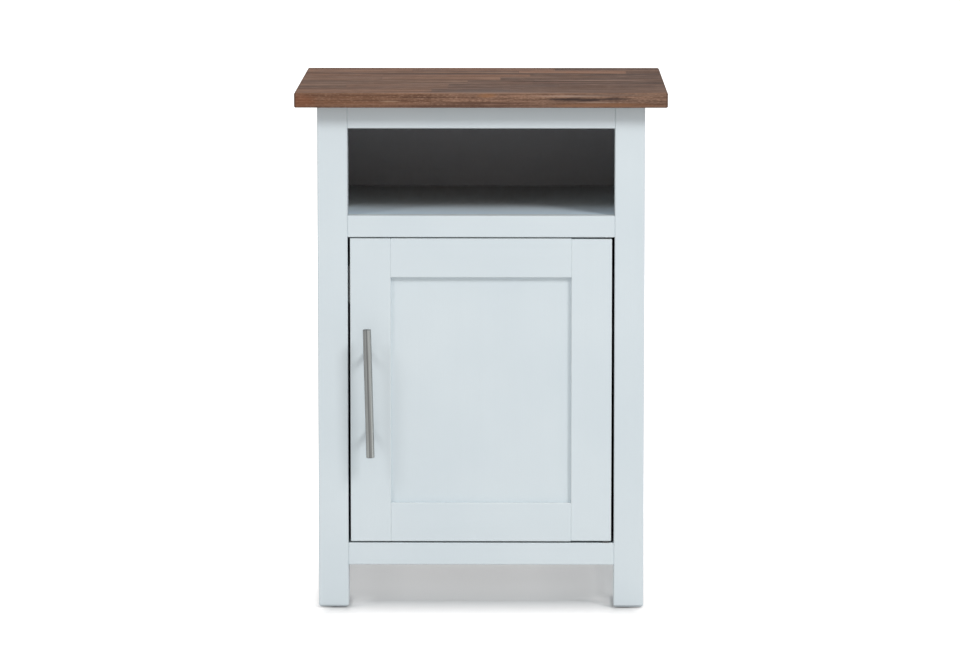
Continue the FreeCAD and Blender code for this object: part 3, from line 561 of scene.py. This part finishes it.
def brushed_bar():
    """Satin steel, brushed along the leaning bar, with painted reflections: a darker line down its front, a
    brighter right side, and light and dark bands.
    """
    material, tree, place, _ = new_finish("brushed_steel")
    x, _, z = axes(tree, place)
    low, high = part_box("handle_bar")
    middle_x, middle_z = (low[0] + high[0]) / 2, (low[2] + high[2]) / 2
    lean = times(tree, calc(tree, "SUBTRACT", z, middle_z), BAR_SLOPE)
    aside = calc(tree, "SUBTRACT", calc(tree, "ADD", x, lean), middle_x)
    place = vector(tree, "ADD", place, offset(tree, x=lean))
    streak = mottle(tree, place, (2600.0, 2600.0, 28.0))
    brush_and_reflection_band = mottle(tree, place, (520.0, 520.0, 3.0))
    smear = mottle(tree, place, (60.0, 60.0, 22.0), 3.0)
    colour = tint(tree, graded(tree, streak), srgb(110, 112, 111), srgb(140, 143, 142))
    # Painted highlight down the bar's right side
    colour = stain(tree, colour, spread(tree, aside, *BAR_HIGHLIGHT, 0.0, 0.45), (164, 167, 165))
    # Light and dark bands along the bar, partly brushing and partly painted reflection
    colour = stain(tree, colour, spread(tree, brush_and_reflection_band, 0.35, 0.5, 0.5, 0.0), (70, 71, 71))
    colour = stain(tree, colour, spread(tree, brush_and_reflection_band, 0.52, 0.68, 0.0, 0.4), (160, 163, 162))
    # Painted reflection: a darker line down the bar's front
    from_reflection = calc(tree, "ABSOLUTE", calc(tree, "ADD", aside, BAR_REFLECTION_LEFT))
    colour = stain(tree, colour, spread(tree, from_reflection, *BAR_REFLECTION, 0.6, 0.0, "SMOOTHSTEP"), (66, 66, 65))
    rough = calc(tree, "ADD", graded(tree, streak, 0.24, 0.34), spread(tree, smear, 0.45, 0.7, 0.0, 0.1))
    return finished(material, colour, rough, streak, 0.00002, {"Metallic": 1.0, "Anisotropic": 0.45})


def blackened_pin():
    """Steel ground round the pin and then blackened."""
    material, tree, place, _ = new_finish("blackened_steel")
    turn = mottle(tree, place, (90.0, 90.0, 4200.0))
    colour = tint(tree, graded(tree, turn), srgb(58, 58, 59), srgb(78, 78, 79))
    return finished(material, colour, graded(tree, turn, 0.34, 0.46), turn, 0.00001, {"Metallic": 1.0})


def zinc_plate():
    """Bright zinc with the faint yellow and blue bloom of its passivation."""
    material, tree, place, _ = new_finish("zinc_plate")
    bloom = mottle(tree, place, 220.0, 3.0)
    grit = mottle(tree, place, 1900.0)
    blooms = [(0.34, srgb(176, 182, 190)), (0.5, srgb(190, 192, 191)), (0.66, srgb(198, 193, 176))]
    colour = steps(tree, bloom, blooms, "LINEAR")["Color"]
    colour = stain(tree, colour, spread(tree, grit, 0.5, 0.8, 0.0, 0.3), (148, 149, 150))
    return finished(material, colour, graded(tree, grit, 0.28, 0.42), grit, 0.00003, {"Metallic": 1.0})


# Plastics and the magnet

def moulded_plastic(name, dark, light, rough):
    """Moulded plastic with a fine texture and a little dust, of about the given roughness."""
    material, tree, place, facing = new_finish(name)
    texture = mottle(tree, place, 700.0)
    colour = tint(tree, graded(tree, mottle(tree, place, 60.0, 3.0)), srgb(*dark), srgb(*light))
    colour = stain(tree, colour, settled_dust(tree, place, facing, amount=0.2), (168, 166, 162))
    return finished(material, colour, graded(tree, texture, rough - 0.05, rough + 0.06), texture, depth=0.00005)


def ferrite():
    material, tree, place, _ = new_finish("sintered_ferrite")
    speck = mottle(tree, place, 1400.0, 3.0, 0.7)
    colour = tint(tree, spread(tree, speck, 0.3, 0.75), srgb(40, 40, 42), srgb(74, 74, 77))
    return finished(material, colour, graded(tree, speck, 0.5, 0.66), speck, depth=0.00006)


def dress(material, *nodes):
    for node in nodes:
        for slot in NODES[node].material_slots:
            slot.material = material


# Painted boards by the run of their grain, with the seed of the first and the step to the next
PAINTED_BOARDS = {
    "upright": (7.0, ["front_left_leg", "front_right_leg", "rear_left_leg", "rear_right_leg", "left_side_panel",
                      "right_side_panel", "door_left_stile", "door_right_stile", "door_panel"]),
    "across": (6.0, ["front_top_rail", "middle_rail", "front_bottom_rail", "rear_top_rail", "rear_bottom_rail",
                     "shelf", "cupboard_bottom", "door_top_rail", "door_bottom_rail"]),
    "deep": (4.0, ["left_shelf_cleat", "right_shelf_cleat", "left_bottom_cleat", "right_bottom_cleat"]),
}
SEED_STEP = 1.37
for run, (seed, boards) in PAINTED_BOARDS.items():
    for number, board in enumerate(boards):
        dress(white_lacquer(board, run, seed + SEED_STEP * number), board)
dress(brown_top(), "tabletop")
dress(bare_softwood("left_top_cleat", 2.0), "left_top_cleat")
dress(bare_softwood("right_top_cleat", 5.0), "right_top_cleat")
dress(back_fibreboard(), "back_panel")
dress(brushed_bar(), "handle_bar", "handle_standoffs")
dress(blackened_pin(), "upper_pivot_pin", "lower_pivot_pin")
ZINC = zinc_plate()
dress(ZINC, "strike_plate")
dress(moulded_plastic("dark_bearing_nylon", (44, 44, 44), (58, 58, 57), rough=0.45),
      "upper_pivot_bush", "lower_pivot_bush")
dress(moulded_plastic("white_catch_plastic", (212, 214, 214), (222, 224, 224), rough=0.4), "catch_housing")
dress(ferrite(), "catch_magnet")
dress(moulded_plastic("dark_glide_nylon", (34, 33, 33), (46, 45, 44), rough=0.55), "foot_glides")


# Screws with cross recesses, made by one tree of nodes

SCREW_INPUTS = {"Head Diameter": 0.007, "Underhead Diameter": 0.0035, "Head Height": 0.002,
                "Shank Diameter": 0.0033, "Length": 0.03, "Recess Width": 0.001, "Recess Depth": 0.0014}
HEAD_SIDES, SHANK_SIDES = 32, 20
# The recess's length as a share of the head, the tip's as a share of the shank, and the tip's end of its start
RECESS_SHARE, TIP_SHARE, TIP_END_SHARE = 0.56, 0.2, 0.15
# How far each screw is turned in its seat
FIRST_TWIST, TWIST_STEP = 0.7, 2.4


def sunk(tree, mesh, depth):
    """A mesh moved down from the face of the screw's head."""
    move = offset(tree, z=times(tree, depth, -1.0))
    return add(tree, "GeometryNodeTransform", {"Geometry": mesh, "Translation": move}).outputs[0]


def screw_head(tree, given):
    """The conical head, with two crossed boxes cut from its face."""
    cone = {"Vertices": HEAD_SIDES, "Side Segments": 2, "Depth": given["Head Height"],
            "Radius Top": times(tree, given["Head Diameter"], 0.5),
            "Radius Bottom": times(tree, given["Underhead Diameter"], 0.5)}
    head = sunk(tree, add(tree, "GeometryNodeMeshCone", cone).outputs["Mesh"], given["Head Height"])
    long, wide = times(tree, given["Head Diameter"], RECESS_SHARE), given["Recess Width"]
    deep = times(tree, given["Recess Depth"], 2.0)
    recessed = add(tree, "GeometryNodeMeshBoolean", operation="DIFFERENCE", solver="EXACT")
    tree.links.new(head, recessed.inputs[0])
    for size in ((long, wide, deep), (wide, long, deep)):
        cut = add(tree, "GeometryNodeMeshCube", {"Size": offset(tree, *size)})
        tree.links.new(cut.outputs["Mesh"], recessed.inputs[1])
    return recessed.outputs["Mesh"]


def screw_shank(tree, given):
    """The plain shank and its pointed tip."""
    radius = times(tree, given["Shank Diameter"], 0.5)
    length = calc(tree, "SUBTRACT", given["Length"], given["Head Height"])
    tip_length = times(tree, length, TIP_SHARE)
    body_length = calc(tree, "SUBTRACT", length, tip_length)
    body = {"Vertices": SHANK_SIDES, "Radius": radius, "Depth": body_length}
    body = add(tree, "GeometryNodeMeshCylinder", body).outputs["Mesh"]
    middle = calc(tree, "ADD", given["Head Height"], times(tree, body_length, 0.5))
    tip = {"Vertices": SHANK_SIDES, "Radius Top": radius, "Radius Bottom": times(tree, radius, TIP_END_SHARE),
           "Depth": tip_length}
    tip = add(tree, "GeometryNodeMeshCone", tip).outputs["Mesh"]
    return sunk(tree, body, middle), sunk(tree, tip, given["Length"])


def make_screw_tree():
    """Places a screw on each point, turned to the point's drive and twisted about it."""
    tree = bpy.data.node_groups.new("screws", "GeometryNodeTree")
    tree.interface.new_socket("Geometry", in_out="INPUT", socket_type="NodeSocketGeometry")
    for label, value in SCREW_INPUTS.items():
        tree.interface.new_socket(label, in_out="INPUT", socket_type="NodeSocketFloat").default_value = value
    tree.interface.new_socket("Finish", in_out="INPUT", socket_type="NodeSocketMaterial")
    tree.interface.new_socket("Geometry", in_out="OUTPUT", socket_type="NodeSocketGeometry")
    given = tree.nodes.new("NodeGroupInput").outputs
    out = tree.nodes.new("NodeGroupOutput").inputs
    whole = add(tree, "GeometryNodeJoinGeometry")
    for part in (screw_head(tree, given), *screw_shank(tree, given)):
        tree.links.new(part, whole.inputs[0])
    drive = add(tree, "GeometryNodeInputNamedAttribute", {"Name": "drive"}, data_type="FLOAT_VECTOR").outputs[0]
    twist = add(tree, "GeometryNodeInputNamedAttribute", {"Name": "twist"}, data_type="FLOAT").outputs[0]
    lean = add(tree, "FunctionNodeAlignRotationToVector", {"Vector": drive}, axis="Z").outputs[0]
    spin = add(tree, "FunctionNodeAxisAngleToRotation", {"Axis": (0.0, 0.0, 1.0), "Angle": twist}).outputs[0]
    turn = add(tree, "FunctionNodeRotateRotation", {0: lean, 1: spin}, rotation_space="LOCAL").outputs[0]
    placed = add(tree, "GeometryNodeInstanceOnPoints", {
        "Points": given["Geometry"], "Instance": whole.outputs[0], "Rotation": turn}).outputs[0]
    solid = add(tree, "GeometryNodeRealizeInstances", {"Geometry": placed}).outputs[0]
    dressed = add(tree, "GeometryNodeSetMaterial", {"Geometry": solid, "Material": given["Finish"]}).outputs[0]
    tree.links.new(dressed, out[0])
    return tree


SCREW_TREE = make_screw_tree()


def screw_mesh(name, seats, sizes):
    """A plain mesh of screws, one for each seat of head middle and outward direction."""
    cloud = bpy.data.meshes.new(f"{name}_seats")
    cloud.from_pydata([middle for middle, _ in seats], [], [])
    cloud.attributes.new("drive", "FLOAT_VECTOR", "POINT")
    cloud.attributes.new("twist", "FLOAT", "POINT")
    for number, (_, drive) in enumerate(seats):
        cloud.attributes["drive"].data[number].vector = drive
        cloud.attributes["twist"].data[number].value = FIRST_TWIST + TWIST_STEP * number
    carrier = bpy.data.objects.new(f"{name}_carrier", cloud)
    bpy.context.scene.collection.objects.link(carrier)
    modifier = carrier.modifiers.new("screws", "NODES")
    modifier.node_group = SCREW_TREE
    items = SCREW_TREE.interface.items_tree
    sockets = {item.name: item.identifier for item in items if item.in_out == "INPUT"}
    for label, value in sizes.items():
        modifier[sockets[label]] = value
    modifier[sockets["Finish"]] = ZINC
    view = bpy.context.evaluated_depsgraph_get()
    mesh = bpy.data.meshes.new_from_object(carrier.evaluated_get(view))
    bpy.data.objects.remove(carrier)
    bpy.data.meshes.remove(cloud)
    return mesh


MERGE_DISTANCE = 1e-6
# Share of a screw's length that counts as its end, and the recess's width and depth as shares of the head's
END_SHARE, RECESS_WIDTH_SHARE, RECESS_DEPTH_SHARE = 0.1, 0.16, 0.7


def separate_screws(node):
    """The points of each screw in a CAD node."""
    copy = bmesh.new()
    copy.from_mesh(NODES[node].data)
    bmesh.ops.remove_doubles(copy, verts=copy.verts, dist=MERGE_DISTANCE)
    screws, seen = [], set()
    for first in copy.verts:
        if first in seen:
            continue
        points, queue = [], [first]
        seen.add(first)
        while queue:
            vert = queue.pop()
            points.append(vert.co.copy())
            for edge in vert.link_edges:
                other = edge.other_vert(vert)
                if other not in seen:
                    seen.add(other)
                    queue.append(other)
        screws.append(points)
    copy.free()
    return screws


def screw_seat(points):
    """The middle of a screw's head face, the direction that it faces, its length and its head's width."""
    low = Vector([min(point[i] for point in points) for i in range(3)])
    high = Vector([max(point[i] for point in points) for i in range(3)])
    size = high - low
    axis = max(range(3), key=lambda i: size[i])
    side = (axis + 1) % 3
    # The head is the wider of the two ends
    widths = {}
    for sign, end in ((1.0, high[axis]), (-1.0, low[axis])):
        near = [point[side] for point in points if abs(point[axis] - end) < END_SHARE * size[axis]]
        widths[sign] = max(near) - min(near)
    sign = max(widths, key=widths.get)
    drive = Vector((0.0, 0.0, 0.0))
    drive[axis] = sign
    middle = (low + high) / 2
    middle[axis] = high[axis] if sign > 0 else low[axis]
    return tuple(middle), tuple(drive), size[axis], widths[sign]


def cad_screws(node, shank, head_height, underhead):
    """Detailed screws in the seats of a CAD node's plain ones, with their length and head."""
    seats = [screw_seat(points) for points in separate_screws(node)]
    _, _, length, head = seats[0]
    return screw_mesh(node, [(middle, drive) for middle, drive, _, _ in seats], {
        "Head Diameter": head, "Underhead Diameter": underhead, "Head Height": head_height,
        "Shank Diameter": shank, "Length": length, "Recess Width": RECESS_WIDTH_SHARE * head,
        "Recess Depth": RECESS_DEPTH_SHARE * head_height})


def back_screws():
    """Flat round heads that hold the back panel to the rear legs and the shelves."""
    side_inset, end_inset, rows, proud = 0.0052, 0.02, 5, 0.0011
    low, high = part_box("back_panel")
    row_step = (high[2] - low[2] - 2 * end_inset) / (rows - 1)
    levels = [low[2] + end_inset + row * row_step for row in range(rows)]
    places = [(side, z) for side in (low[0] + side_inset, high[0] - side_inset) for z in levels]
    for node in ("shelf", "cupboard_bottom"):
        board_low, board_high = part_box(node)
        places += [(share * high[0], (board_low[2] + board_high[2]) / 2) for share in (-0.5, 0.0, 0.5)]
    seats = [((x, high[1] + proud, z), (0.0, 1.0, 0.0)) for x, z in places]
    return screw_mesh("back_screws", seats, {
        "Head Diameter": 0.0058, "Underhead Diameter": 0.0072, "Head Height": 0.0013,
        "Shank Diameter": 0.0028, "Length": 0.015, "Recess Width": 0.0009, "Recess Depth": 0.0008})


def cleat_screws():
    """Countersunk heads along the cleats, driven into the side panels."""
    proud, shares = 0.0002, (0.12, 0.5, 0.88)
    seats = []
    for side, out in (("left", 1.0), ("right", -1.0)):
        for level in ("top", "shelf", "bottom"):
            low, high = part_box(f"{side}_{level}_cleat")
            face = (high[0] if out > 0 else low[0]) + out * proud
            middle_z = (low[2] + high[2]) / 2
            for share in shares:
                seats.append(((face, low[1] + share * (high[1] - low[1]), middle_z), (out, 0.0, 0.0)))
    return screw_mesh("cleat_screws", seats, {
        "Head Diameter": 0.0066, "Underhead Diameter": 0.0035, "Head Height": 0.002,
        "Shank Diameter": 0.0033, "Length": 0.02, "Recess Width": 0.0011, "Recess Depth": 0.0013})


def joined(name, meshes, body, *replaced):
    """One piece of all the given meshes, riding on a body."""
    whole = bmesh.new()
    for mesh in meshes:
        whole.from_mesh(mesh)
        bpy.data.meshes.remove(mesh)
    mesh = bpy.data.meshes.new(name)
    whole.to_mesh(mesh)
    whole.free()
    mesh.materials.append(ZINC)
    for face in mesh.polygons:
        face.material_index = 0
    piece = bpy.data.objects.new(name, mesh)
    bpy.context.scene.collection.objects.link(piece)
    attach(piece, body)
    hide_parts(*replaced)


SMALL_SCREW = {"shank": 0.0028, "head_height": 0.0017, "underhead": 0.003}
joined("carcass_screws", [cad_screws("top_screws", shank=0.0033, head_height=0.002, underhead=0.0035),
                          cad_screws("catch_screws", **SMALL_SCREW), back_screws(), cleat_screws()],
       "carcass", "top_screws", "catch_screws")
joined("door_screws", [cad_screws("handle_screws", shank=0.0038, head_height=0.0022, underhead=0.007),
                       cad_screws("strike_screw", **SMALL_SCREW)],
       "door", "handle_screws", "strike_screw")


# Floor, light and camera

FLOOR_SIDE, FLOOR_FRONT, FLOOR_BACK = 25, -20, 45
FLOOR_WHITE = (1.0, 0.98, 0.97, 1.0)
FLOOR_GREY, FLOOR_FOOT_SHADE = (0.8, 0.8, 0.8, 1.0), (0.62, 0.62, 0.62, 1.0)
# Fades over the floor, in metres from the middle of the nightstand: low and high end, and the strength at each
FLOOR_FADES = {
    "beside": (0.165, 0.24, 0.0, 1.0),
    "behind": (0.2, 0.6, 0.0, 1.0),
    "later at a foot": (0.148, 0.162, 0.0, 0.02),
    "ahead": (-0.205, -0.13, 0.3, 0.04),
    "far ahead": (-0.33, -0.2, 0.7, 0.0),
    "under": (-0.137, -0.1, 0.06, 0.32),
    "far under": (-0.1, -0.03, 0.0, 0.07),
    "towards a foot": (0.125, 0.148, 0.0, 0.125),
    "up to a foot": (0.157, 0.161, 1.0, 0.0),
    "behind a foot's front": (-0.172, -0.145, 0.0, 1.0),
    "before the middle": (-0.112, -0.07, 1.0, 0.0),
    # Where the painted shadow round the front feet fades in and out
    "more at the right": (0.0, 0.1, 1.0, 1.35),
    "foot shade from inside": (0.158, 0.164, 0.0, 1.0),
    "foot shade to outside": (0.19, 0.205, 1.0, 0.0),
    "foot shade from ahead": (-0.194, -0.172, 0.0, 1.0),
    "foot shade to behind": (-0.13, -0.11, 1.0, 0.0),
}
# The same across the grey between the feet, from left to right
UNDER_ACROSS = [
    (-0.17, -0.14, 0.54, 1.0), (-0.14, -0.09, 0.83, 1.0), (0.06, 0.14, 1.0, 0.78), (0.14, 0.162, 1.0, 0.22),
]


def shown_rays(tree):
    """A mask of what the camera sees, directly, in gloss or through glass."""
    path = add(tree, "ShaderNodeLightPath").outputs
    glass = calc(tree, "MAXIMUM", path["Is Glossy Ray"], path["Is Transmission Ray"])
    return calc(tree, "MAXIMUM", path["Is Camera Ray"], glass)


def pale_floor():
    """White to the camera all round, and grey only where the nightstand shades it."""
    material = bpy.data.materials.new("pale_floor")
    material.use_nodes = True
    tree = material.node_tree
    tree.nodes.remove(tree.nodes["Principled BSDF"])

    def fade(name, value, curve="LINEAR"):
        return spread(tree, value, *FLOOR_FADES[name], curve)

    x, y, _ = axes(tree, add(tree, "ShaderNodeTexCoord").outputs["Object"])
    aside = calc(tree, "ABSOLUTE", x)
    # The white ahead starts a little later in front of each foot, a painted shadow there
    foot_y = calc(tree, "ADD", y, fade("later at a foot", aside))
    ahead = calc(tree, "ADD", fade("ahead", foot_y), fade("far ahead", y))
    behind = fade("behind", y, "SMOOTHSTEP")
    clear = calc(tree, "MAXIMUM", fade("beside", aside, "SMOOTHSTEP"), calc(tree, "MAXIMUM", ahead, behind))
    # Painted light for an even grey between the feet, which needs less where the lamps already reach in
    under = calc(tree, "ADD", fade("under", y, "SMOOTHSTEP"), fade("far under", y))
    under = times(tree, under, *(spread(tree, x, *across) for across in UNDER_ACROSS))
    deep = calc(tree, "MINIMUM", fade("behind a foot's front", y), fade("before the middle", y))
    inside = times(tree, fade("towards a foot", aside), fade("up to a foot", aside), deep,
                   fade("more at the right", x))
    # The glow is painted light: it whitens the floor all round and lifts the nightstand's shadow to an even
    # grey
    glow = times(tree, shown_rays(tree), calc(tree, "MAXIMUM", clear, calc(tree, "ADD", under, inside)))
    # Painted shadow, darker where the front feet stand
    stood = calc(tree, "MINIMUM", fade("foot shade from ahead", y), fade("foot shade to behind", y))
    foot_shade = times(tree, fade("foot shade from inside", aside), fade("foot shade to outside", aside), stood)
    emit = add(tree, "ShaderNodeEmission", {"Color": FLOOR_WHITE, "Strength": glow})
    matt = add(tree, "ShaderNodeBsdfDiffuse", {"Color": tint(tree, foot_shade, FLOOR_GREY, FLOOR_FOOT_SHADE)})
    both = add(tree, "ShaderNodeAddShader", {0: emit.outputs[0], 1: matt.outputs[0]})
    tree.links.new(both.outputs[0], tree.nodes["Material Output"].inputs["Surface"])
    return material


def lay_floor():
    mesh = bpy.data.meshes.new("floor")
    corners = [(-FLOOR_SIDE, FLOOR_FRONT, 0), (FLOOR_SIDE, FLOOR_FRONT, 0), (FLOOR_SIDE, FLOOR_BACK, 0),
               (-FLOOR_SIDE, FLOOR_BACK, 0)]
    mesh.from_pydata(corners, [], [(0, 1, 2, 3)])
    mesh.materials.append(pale_floor())
    floor = bpy.data.objects.new("floor", mesh)
    bpy.context.scene.collection.objects.link(floor)


def light_room(ambient):
    """Even light from all round, and plain white where the camera sees past the floor."""
    world = bpy.data.worlds.new("studio")
    bpy.context.scene.world = world
    world.use_nodes = True
    tree = world.node_tree
    background = tree.nodes["Background"]
    background.inputs["Color"].default_value = (1.0, 1.0, 1.0, 1.0)
    strength = spread(tree, shown_rays(tree), 0.0, 1.0, ambient, 1.0)
    tree.links.new(strength, background.inputs["Strength"])


LIGHT_TARGET = Vector((0.0, 0.0, 0.35))


def soft_light(name, azimuth, elevation, distance, width, height, power):
    """A soft light, turned to the middle of the nightstand; azimuth 0 is straight ahead of its front."""
    data = bpy.data.lights.new(name, "AREA")
    data.shape, data.size, data.size_y, data.energy = "RECTANGLE", width, height, power
    light = bpy.data.objects.new(name, data)
    around, up = math.radians(azimuth), math.radians(elevation)
    toward = Vector((math.sin(around) * math.cos(up), -math.cos(around) * math.cos(up), math.sin(up)))
    light.location = LIGHT_TARGET + toward * distance
    light.rotation_euler = toward.to_track_quat("Z", "Y").to_euler()
    bpy.context.scene.collection.objects.link(light)


IMAGE_WIDTH_PX, SENSOR_WIDTH_MM, SIGHT_M = 960, 36.0, 200.0


def set_camera(place, yaw, pitch, focal_px):
    data = bpy.data.cameras.new("camera")
    data.sensor_fit, data.sensor_width = "HORIZONTAL", SENSOR_WIDTH_MM
    data.lens = SENSOR_WIDTH_MM * focal_px / IMAGE_WIDTH_PX
    data.clip_end = SIGHT_M
    camera = bpy.data.objects.new("camera", data)
    camera.location = place
    camera.rotation_euler = (math.pi / 2 - pitch, 0.0, -yaw)
    bpy.context.scene.collection.objects.link(camera)
    bpy.context.scene.camera = camera


lay_floor()
light_room(ambient=0.54)
soft_light("left softbox", azimuth=-42, elevation=37, distance=5.0, width=1.0, height=1.33, power=42)
soft_light("right softbox", azimuth=38, elevation=37, distance=5.0, width=1.2, height=1.33, power=99)
set_camera((0.04753, -6.05772, 1.11024), yaw=-0.0083, pitch=0.12974, focal_px=4886.0)
bpy.context.scene.view_settings.view_transform = "Standard"
